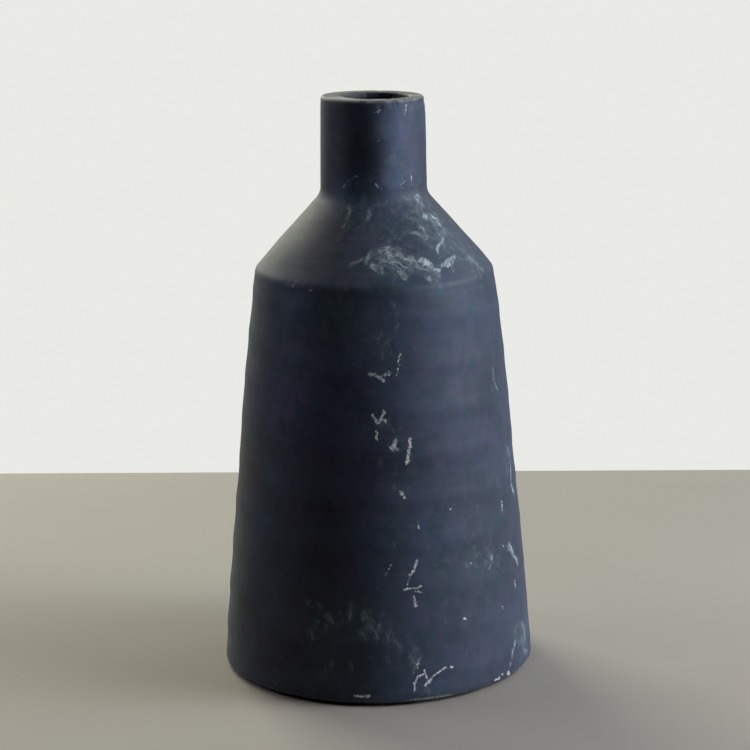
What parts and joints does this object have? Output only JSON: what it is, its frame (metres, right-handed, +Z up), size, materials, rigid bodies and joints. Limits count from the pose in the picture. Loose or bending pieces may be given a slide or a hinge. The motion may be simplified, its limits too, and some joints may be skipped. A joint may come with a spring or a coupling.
{
  "type": "bottle vase",
  "caption": "Matte black stoneware bottle vase: conical thrown body, sharp shoulder and short tube neck, luted from separate clay sections.",
  "frame": {"origin": "centre of the foot, on the surface that the vase stands on", "axes": "+Z up along the vase's axis; -Y is the side with the chalk marks"},
  "size_m": [0.1366, 0.1366, 0.2507],
  "materials": {
    "black_stoneware": "matte blue-black stain, worn and chalked in places",
    "foot_clay": "matte, unsmoothed dark clay",
    "joining_slip": "matte fired slip"
  },
  "bodies": {
    "root": {"base_slab": "foot_clay", "base_slip_joint": "joining_slip", "body_wall": "black_stoneware", "shoulder_slip_joint": "joining_slip", "shoulder_cone": "black_stoneware", "neck_slip_joint": "joining_slip", "neck_tube": "black_stoneware"}
  },
  "joints": []
}
